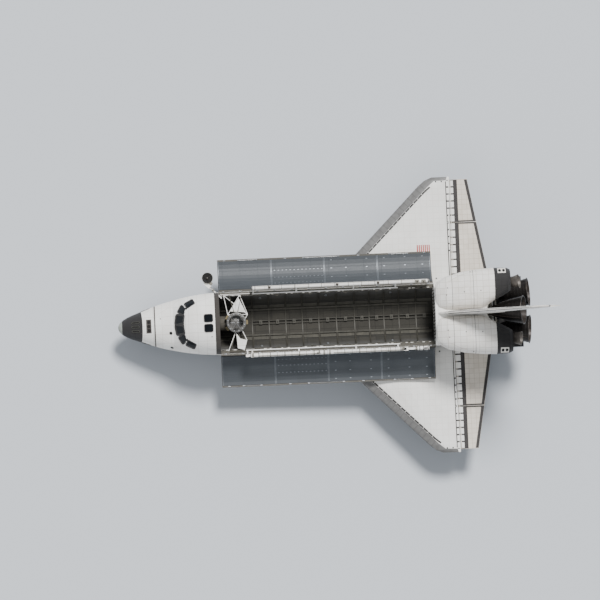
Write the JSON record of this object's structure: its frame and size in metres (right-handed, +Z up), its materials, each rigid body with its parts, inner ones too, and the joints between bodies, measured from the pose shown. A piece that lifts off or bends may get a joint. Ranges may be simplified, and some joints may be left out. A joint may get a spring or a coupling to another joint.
{
  "type": "winged orbiter spacecraft",
  "caption": "Delta-winged crewed orbiter with an open payload bay, jointed bay doors, elevons, split rudder, gimballed engines, sill arm and steerable nose gear",
  "frame": {"origin": "on the floor under the middle of the bounding box, the tyres standing at z = 0", "axes": "+X from nose to tail, +Y to starboard, +Z up; the airframe stands 3.5 degrees nose down as it parks"},
  "size_m": [36.36, 23.7916, 17.2669],
  "materials": {
    "white_tile": "matte",
    "wing_tile": "matte",
    "beige_tile": "matte",
    "black_tile": "matte",
    "carbon": "satin",
    "bay_liner": "matte",
    "structure": "satin",
    "radiator": "satin",
    "engine": "satin",
    "steel": "satin",
    "blanket": "matte",
    "cabin": "matte",
    "tyre": "matte"
  },
  "bodies": {
    "airframe": {"nose_cap": "carbon", "forward_thruster_module": "white_tile", "forward_fuselage": "white_tile", "flight_deck": "cabin", "instrument_panel": "cabin", "mid_fuselage": "bay_liner", "sill_longeron_starboard": "structure", "sill_longeron_port": "structure", "docking_module": "blanket", "wing_starboard": "wing_tile", "wing_port": "wing_tile", "wing_leading_edge_starboard": "carbon", "wing_leading_edge_port": "carbon", "aft_fuselage": "white_tile", "rear_pod_starboard": "white_tile", "rear_pod_port": "white_tile", "fin": "white_tile", "small_engine_bell_starboard": "engine", "small_engine_bell_port": "engine", "nose_gear_leg": "steel", "nose_gear_door_starboard": "black_tile", "nose_gear_door_port": "black_tile", "main_gear_leg_starboard": "steel", "main_gear_leg_port": "steel", "main_gear_door_starboard": "black_tile", "main_gear_door_port": "black_tile"},
    "hatch": {"side_hatch": "white_tile"},
    "elevon_inner_right": {"elevon_inner_starboard": "beige_tile"},
    "elevon_inner_left": {"elevon_inner_port": "beige_tile"},
    "elevon_outer_right": {"elevon_outer_starboard": "beige_tile"},
    "elevon_outer_left": {"elevon_outer_port": "beige_tile"},
    "flap": {"body_flap": "black_tile"},
    "rudder": {"rudder_shaft": "structure"},
    "brake_right": {"rudder_panel_starboard": "white_tile"},
    "brake_left": {"rudder_panel_port": "white_tile"},
    "swivel_upper": {"engine_swivel_upper": "steel"},
    "swivel_right": {"engine_swivel_starboard": "steel"},
    "swivel_left": {"engine_swivel_port": "steel"},
    "engine_upper": {"engine_bell_upper": "engine"},
    "engine_right": {"engine_bell_starboard": "engine"},
    "engine_left": {"engine_bell_port": "engine"},
    "door_right": {"payload_door_starboard": "white_tile", "radiator_aft_starboard": "radiator"},
    "door_left": {"payload_door_port": "white_tile", "radiator_aft_port": "radiator"},
    "radiator_right": {"radiator_forward_starboard": "radiator"},
    "radiator_left": {"radiator_forward_port": "radiator"},
    "cradle": {"arm_cradle": "blanket"},
    "upper_arm": {"arm_upper": "blanket"},
    "forearm": {"arm_fore": "blanket"},
    "wrist": {"arm_wrist": "blanket"},
    "palm": {"arm_palm": "blanket"},
    "hand": {"arm_hand": "blanket"},
    "boom": {"sensor_boom": "blanket"},
    "antenna": {"dish_antenna": "blanket"},
    "nose_fork": {"nose_gear_fork": "steel"},
    "nose_wheel_pair": {"nose_wheels": "tyre"},
    "main_wheel_pair_right": {"main_wheels_starboard": "tyre"},
    "main_wheel_pair_left": {"main_wheels_port": "tyre"}
  },
  "joints": [
    {"name": "hatch_hinge", "type": "hinge", "parent": "airframe", "child": "hatch", "pos_m": [-11.4105, -2.57, 3.1949], "axis": [0.9981, 0, 0.0611], "range_deg": [0, 90]},
    {"name": "elevon_inner_right_hinge", "type": "hinge", "parent": "airframe", "child": "elevon_inner_right", "pos_m": [11.0251, 5.313, 3.3412], "axis": [-0.0022, 0.9993, 0.0367], "range_deg": [-33.5, 18]},
    {"name": "elevon_inner_left_hinge", "type": "hinge", "parent": "airframe", "child": "elevon_inner_left", "pos_m": [11.0251, -5.313, 3.3412], "axis": [0.0022, 0.9993, -0.0367], "range_deg": [-33.5, 18]},
    {"name": "elevon_outer_right_hinge", "type": "hinge", "parent": "airframe", "child": "elevon_outer_right", "pos_m": [11.015, 9.7935, 3.5057], "axis": [-0.0022, 0.9993, 0.0367], "range_deg": [-33.5, 18]},
    {"name": "elevon_outer_left_hinge", "type": "hinge", "parent": "airframe", "child": "elevon_outer_left", "pos_m": [11.015, -9.7935, 3.5057], "axis": [0.0022, 0.9993, -0.0367], "range_deg": [-33.5, 18]},
    {"name": "flap_hinge", "type": "hinge", "parent": "airframe", "child": "flap", "pos_m": [14.696, 0, 3.6513], "axis": [0, 1, 0], "range_deg": [-11.7, 22.55]},
    {"name": "rudder_hinge", "type": "hinge", "parent": "airframe", "child": "rudder", "pos_m": [12.8744, 0, 9.9272], "axis": [0.52, 0, 0.8542], "range_deg": [-27.1, 27.1]},
    {"name": "speed_brake_right", "type": "hinge", "parent": "rudder", "child": "brake_right", "pos_m": [12.8744, 0, 9.9272], "axis": [0.52, 0, 0.8542], "range_deg": [0, 49.3]},
    {"name": "speed_brake_left", "type": "hinge", "parent": "rudder", "child": "brake_left", "pos_m": [12.8744, 0, 9.9272], "axis": [-0.52, 0, -0.8542], "range_deg": [0, 49.3]},
    {"name": "engine_upper_yaw", "type": "hinge", "parent": "airframe", "child": "swivel_upper", "pos_m": [12.2484, 0, 7.4714], "axis": [-0.3338, 0, 0.9426], "range_deg": [-8.5, 8.5]},
    {"name": "engine_upper_pitch", "type": "hinge", "parent": "swivel_upper", "child": "engine_upper", "pos_m": [12.2484, 0, 7.4714], "axis": [0, 1, 0], "range_deg": [-10.5, 10.5]},
    {"name": "engine_right_yaw", "type": "hinge", "parent": "airframe", "child": "swivel_right", "pos_m": [12.9872, 1.3462, 4.9616], "axis": [-0.2331, -0.0106, 0.9724], "range_deg": [-8.5, 8.5]},
    {"name": "engine_right_pitch", "type": "hinge", "parent": "swivel_right", "child": "engine_right", "pos_m": [12.9872, 1.3462, 4.9616], "axis": [-0.0609, 0.9981, -0.0037], "range_deg": [-10.5, 10.5]},
    {"name": "engine_left_yaw", "type": "hinge", "parent": "airframe", "child": "swivel_left", "pos_m": [12.9872, -1.3462, 4.9616], "axis": [-0.2331, 0.0106, 0.9724], "range_deg": [-8.5, 8.5]},
    {"name": "engine_left_pitch", "type": "hinge", "parent": "swivel_left", "child": "engine_left", "pos_m": [12.9872, -1.3462, 4.9616], "axis": [0.0609, 0.9981, 0.0037], "range_deg": [-10.5, 10.5]},
    {"name": "door_right_hinge", "type": "hinge", "parent": "airframe", "child": "door_right", "pos_m": [-0.3346, 2.667, 5.862], "axis": [0.9981, 0, 0.0611], "range_deg": [0, 175.5]},
    {"name": "door_left_hinge", "type": "hinge", "parent": "airframe", "child": "door_left", "pos_m": [-0.3346, -2.667, 5.862], "axis": [-0.9981, 0, -0.0611], "range_deg": [0, 175.5]},
    {"name": "radiator_right_hinge", "type": "hinge", "parent": "door_right", "child": "radiator_right", "pos_m": [-0.3191, 2.8298, 5.6085], "axis": [-0.9981, 0, -0.0611], "range_deg": [-35.5, 0]},
    {"name": "radiator_left_hinge", "type": "hinge", "parent": "door_left", "child": "radiator_left", "pos_m": [-0.3191, -2.8298, 5.6085], "axis": [0.9981, 0, 0.0611], "range_deg": [-35.5, 0]},
    {"name": "arm_roll", "type": "hinge", "parent": "airframe", "child": "cradle", "pos_m": [-0.338, -2.413, 5.9179], "axis": [-0.9981, 0, -0.0611], "range_deg": [0, 64.01]},
    {"name": "boom_roll", "type": "hinge", "parent": "airframe", "child": "boom", "pos_m": [-0.338, 2.413, 5.9179], "axis": [0.9981, 0, 0.0611], "range_deg": [0, 64.01]},
    {"name": "arm_shoulder_pitch", "type": "hinge", "parent": "cradle", "child": "upper_arm", "pos_m": [-6.9531, -2.875, 6.1926], "axis": [0, 1, 0], "range_deg": [-145, 0]},
    {"name": "arm_elbow_pitch", "type": "hinge", "parent": "upper_arm", "child": "forearm", "pos_m": [-0.5498, -2.875, 6.3337], "axis": [0, 1, 0], "range_deg": [0, 160.1]},
    {"name": "arm_wrist_pitch", "type": "hinge", "parent": "forearm", "child": "wrist", "pos_m": [6.2822, -2.875, 7.0021], "axis": [0, 1, 0], "range_deg": [0, 120.1]},
    {"name": "arm_wrist_yaw", "type": "hinge", "parent": "wrist", "child": "palm", "pos_m": [6.7383, -2.875, 7.03], "axis": [-0.0611, 0, 0.9981], "range_deg": [-120, 120]},
    {"name": "arm_hand_roll", "type": "hinge", "parent": "palm", "child": "hand", "pos_m": [7.2064, -2.875, 7.0586], "axis": [0.9981, 0, 0.0611], "range_deg": [-447, 447]},
    {"name": "antenna_swing", "type": "hinge", "parent": "airframe", "child": "antenna", "pos_m": [-9.3709, 2.16, 5.5257], "axis": [0.0611, 0, -0.9981], "range_deg": [0, 135]},
    {"name": "nose_steering", "type": "hinge", "parent": "airframe", "child": "nose_fork", "pos_m": [-14.4207, 0, 0.4049], "axis": [-0.0611, 0, 0.9981], "range_deg": [-10, 10]},
    {"name": "nose_wheel_spin", "type": "hinge", "parent": "nose_fork", "child": "nose_wheel_pair", "pos_m": [-14.4207, 0, 0.4049], "axis": [0, 1, 0], "continuous": true},
    {"name": "main_wheel_right_spin", "type": "hinge", "parent": "airframe", "child": "main_wheel_pair_right", "pos_m": [5.7242, 3.455, 0.564], "axis": [0, 1, 0], "continuous": true},
    {"name": "main_wheel_left_spin", "type": "hinge", "parent": "airframe", "child": "main_wheel_pair_left", "pos_m": [5.7242, -3.455, 0.564], "axis": [0, 1, 0], "continuous": true}
  ],
  "couplings": [
    {"joint": "speed_brake_left", "follows": "speed_brake_right", "ratio": 1},
    {"joint": "arm_roll", "follows": "door_left_hinge", "ratio": 0.36467},
    {"joint": "boom_roll", "follows": "door_right_hinge", "ratio": 0.36467},
    {"joint": "arm_elbow_pitch", "follows": "arm_shoulder_pitch", "ratio": -1.1035},
    {"joint": "arm_wrist_pitch", "follows": "arm_shoulder_pitch", "ratio": -0.82759}
  ]
}
